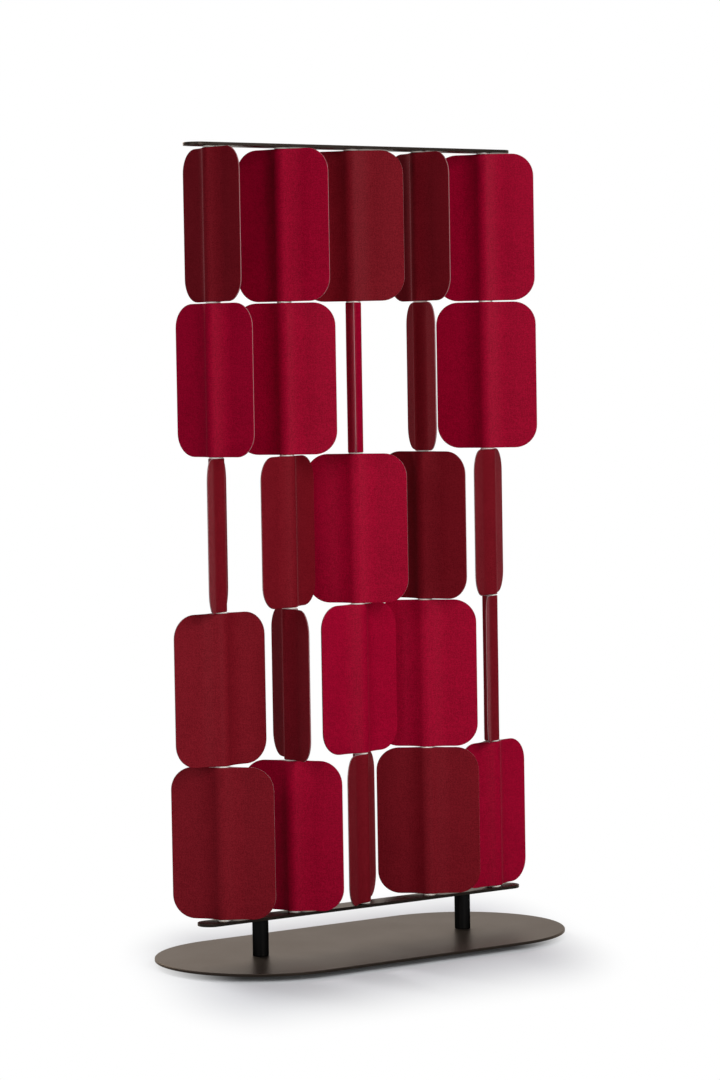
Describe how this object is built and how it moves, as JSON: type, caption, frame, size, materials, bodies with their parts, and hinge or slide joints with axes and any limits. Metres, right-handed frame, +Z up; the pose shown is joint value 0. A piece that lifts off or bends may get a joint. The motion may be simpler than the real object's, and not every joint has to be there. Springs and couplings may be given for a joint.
{
  "type": "acoustic room divider",
  "caption": "Free-standing acoustic room divider: fabric-covered felt panels, each turning on a vertical rod, between two flat steel rails over a heavy plate base with round ends.",
  "frame": {"origin": "on the floor, in the middle of the base", "axes": "+X along the rails, -Y to the front, +Z up"},
  "size_m": [1.026, 0.494, 1.806],
  "materials": {
    "base_coat": "fine-textured dark bronze powder coat",
    "rail_coat": "fine-textured dark bronze powder coat",
    "post_coat": "satin black powder coat",
    "rod_steel": "drawn bright bar",
    "bush_nylon": "natural turned nylon",
    "screw_steel": "black oxide",
    "glide_rubber": "matt",
    "felt_crimson": "fine wool-like weave, crimson",
    "felt_burgundy": "fine wool-like weave, burgundy"
  },
  "bodies": {
    "frame": {"base_plate": "base_coat", "base_glides": "glide_rubber", "post_left": "post_coat", "post_right": "post_coat", "lower_rail": "rail_coat", "upper_rail": "rail_coat", "column_rods": "rod_steel", "pivot_bushes": "bush_nylon", "rail_screws": "screw_steel", "post_screws": "screw_steel"},
    "panel_r1_c1": {"front_shell_r1_c1": "felt_burgundy", "back_shell_r1_c1": "felt_burgundy"},
    "panel_r1_c2": {"front_shell_r1_c2": "felt_crimson", "back_shell_r1_c2": "felt_crimson"},
    "panel_r1_c3": {"front_shell_r1_c3": "felt_burgundy", "back_shell_r1_c3": "felt_burgundy"},
    "panel_r1_c4": {"front_shell_r1_c4": "felt_burgundy", "back_shell_r1_c4": "felt_burgundy"},
    "panel_r1_c5": {"front_shell_r1_c5": "felt_crimson", "back_shell_r1_c5": "felt_crimson"},
    "panel_r2_c1": {"front_shell_r2_c1": "felt_crimson", "back_shell_r2_c1": "felt_crimson"},
    "panel_r2_c2": {"front_shell_r2_c2": "felt_crimson", "back_shell_r2_c2": "felt_crimson"},
    "panel_r2_c3": {"front_shell_r2_c3": "felt_crimson", "back_shell_r2_c3": "felt_crimson"},
    "panel_r2_c4": {"front_shell_r2_c4": "felt_burgundy", "back_shell_r2_c4": "felt_burgundy"},
    "panel_r2_c5": {"front_shell_r2_c5": "felt_crimson", "back_shell_r2_c5": "felt_crimson"},
    "panel_r3_c1": {"front_shell_r3_c1": "felt_burgundy", "back_shell_r3_c1": "felt_burgundy"},
    "panel_r3_c2": {"front_shell_r3_c2": "felt_burgundy", "back_shell_r3_c2": "felt_burgundy"},
    "panel_r3_c3": {"front_shell_r3_c3": "felt_crimson", "back_shell_r3_c3": "felt_crimson"},
    "panel_r3_c4": {"front_shell_r3_c4": "felt_burgundy", "back_shell_r3_c4": "felt_burgundy"},
    "panel_r3_c5": {"front_shell_r3_c5": "felt_burgundy", "back_shell_r3_c5": "felt_burgundy"},
    "panel_r4_c1": {"front_shell_r4_c1": "felt_burgundy", "back_shell_r4_c1": "felt_burgundy"},
    "panel_r4_c2": {"front_shell_r4_c2": "felt_burgundy", "back_shell_r4_c2": "felt_burgundy"},
    "panel_r4_c3": {"front_shell_r4_c3": "felt_crimson", "back_shell_r4_c3": "felt_crimson"},
    "panel_r4_c4": {"front_shell_r4_c4": "felt_crimson", "back_shell_r4_c4": "felt_crimson"},
    "panel_r4_c5": {"front_shell_r4_c5": "felt_burgundy", "back_shell_r4_c5": "felt_burgundy"},
    "panel_r5_c1": {"front_shell_r5_c1": "felt_burgundy", "back_shell_r5_c1": "felt_burgundy"},
    "panel_r5_c2": {"front_shell_r5_c2": "felt_crimson", "back_shell_r5_c2": "felt_crimson"},
    "panel_r5_c3": {"front_shell_r5_c3": "felt_burgundy", "back_shell_r5_c3": "felt_burgundy"},
    "panel_r5_c4": {"front_shell_r5_c4": "felt_burgundy", "back_shell_r5_c4": "felt_burgundy"},
    "panel_r5_c5": {"front_shell_r5_c5": "felt_crimson", "back_shell_r5_c5": "felt_crimson"}
  },
  "joints": [
    {"name": "panel_r1_c1_turn", "type": "hinge", "parent": "frame", "child": "panel_r1_c1", "pos_m": [-0.374, 0, 1.6285], "axis": [0, 0, 1], "continuous": true},
    {"name": "panel_r1_c2_turn", "type": "hinge", "parent": "frame", "child": "panel_r1_c2", "pos_m": [-0.187, 0, 1.6285], "axis": [0, 0, 1], "continuous": true},
    {"name": "panel_r1_c3_turn", "type": "hinge", "parent": "frame", "child": "panel_r1_c3", "pos_m": [0, 0, 1.6285], "axis": [0, 0, 1], "continuous": true},
    {"name": "panel_r1_c4_turn", "type": "hinge", "parent": "frame", "child": "panel_r1_c4", "pos_m": [0.187, 0, 1.6285], "axis": [0, 0, 1], "continuous": true},
    {"name": "panel_r1_c5_turn", "type": "hinge", "parent": "frame", "child": "panel_r1_c5", "pos_m": [0.374, 0, 1.6285], "axis": [0, 0, 1], "continuous": true},
    {"name": "panel_r2_c1_turn", "type": "hinge", "parent": "frame", "child": "panel_r2_c1", "pos_m": [-0.374, 0, 1.2905], "axis": [0, 0, 1], "continuous": true},
    {"name": "panel_r2_c2_turn", "type": "hinge", "parent": "frame", "child": "panel_r2_c2", "pos_m": [-0.187, 0, 1.2905], "axis": [0, 0, 1], "continuous": true},
    {"name": "panel_r2_c3_turn", "type": "hinge", "parent": "frame", "child": "panel_r2_c3", "pos_m": [0, 0, 1.2905], "axis": [0, 0, 1], "continuous": true},
    {"name": "panel_r2_c4_turn", "type": "hinge", "parent": "frame", "child": "panel_r2_c4", "pos_m": [0.187, 0, 1.2905], "axis": [0, 0, 1], "continuous": true},
    {"name": "panel_r2_c5_turn", "type": "hinge", "parent": "frame", "child": "panel_r2_c5", "pos_m": [0.374, 0, 1.2905], "axis": [0, 0, 1], "continuous": true},
    {"name": "panel_r3_c1_turn", "type": "hinge", "parent": "frame", "child": "panel_r3_c1", "pos_m": [-0.374, 0, 0.9525], "axis": [0, 0, 1], "range_deg": [-55, 90]},
    {"name": "panel_r3_c2_turn", "type": "hinge", "parent": "frame", "child": "panel_r3_c2", "pos_m": [-0.187, 0, 0.9525], "axis": [0, 0, 1], "continuous": true},
    {"name": "panel_r3_c3_turn", "type": "hinge", "parent": "frame", "child": "panel_r3_c3", "pos_m": [0, 0, 0.9525], "axis": [0, 0, 1], "range_deg": [-140, 10]},
    {"name": "panel_r3_c4_turn", "type": "hinge", "parent": "frame", "child": "panel_r3_c4", "pos_m": [0.187, 0, 0.9525], "axis": [0, 0, 1], "range_deg": [-130, 30]},
    {"name": "panel_r3_c5_turn", "type": "hinge", "parent": "frame", "child": "panel_r3_c5", "pos_m": [0.374, 0, 0.9525], "axis": [0, 0, 1], "continuous": true},
    {"name": "panel_r4_c1_turn", "type": "hinge", "parent": "frame", "child": "panel_r4_c1", "pos_m": [-0.374, 0, 0.6145], "axis": [0, 0, 1], "continuous": true},
    {"name": "panel_r4_c2_turn", "type": "hinge", "parent": "frame", "child": "panel_r4_c2", "pos_m": [-0.187, 0, 0.6145], "axis": [0, 0, 1], "range_deg": [-65, 80]},
    {"name": "panel_r4_c3_turn", "type": "hinge", "parent": "frame", "child": "panel_r4_c3", "pos_m": [0, 0, 0.6145], "axis": [0, 0, 1], "continuous": true},
    {"name": "panel_r4_c4_turn", "type": "hinge", "parent": "frame", "child": "panel_r4_c4", "pos_m": [0.187, 0, 0.6145], "axis": [0, 0, 1], "range_deg": [-135, 20]},
    {"name": "panel_r4_c5_turn", "type": "hinge", "parent": "frame", "child": "panel_r4_c5", "pos_m": [0.374, 0, 0.6145], "axis": [0, 0, 1], "continuous": true},
    {"name": "panel_r5_c1_turn", "type": "hinge", "parent": "frame", "child": "panel_r5_c1", "pos_m": [-0.374, 0, 0.2765], "axis": [0, 0, 1], "continuous": true},
    {"name": "panel_r5_c2_turn", "type": "hinge", "parent": "frame", "child": "panel_r5_c2", "pos_m": [-0.187, 0, 0.2765], "axis": [0, 0, 1], "continuous": true},
    {"name": "panel_r5_c3_turn", "type": "hinge", "parent": "frame", "child": "panel_r5_c3", "pos_m": [0, 0, 0.2765], "axis": [0, 0, 1], "range_deg": [0, 170]},
    {"name": "panel_r5_c4_turn", "type": "hinge", "parent": "frame", "child": "panel_r5_c4", "pos_m": [0.187, 0, 0.2765], "axis": [0, 0, 1], "range_deg": [-140, 0]},
    {"name": "panel_r5_c5_turn", "type": "hinge", "parent": "frame", "child": "panel_r5_c5", "pos_m": [0.374, 0, 0.2765], "axis": [0, 0, 1], "range_deg": [-150, 20]}
  ]
}
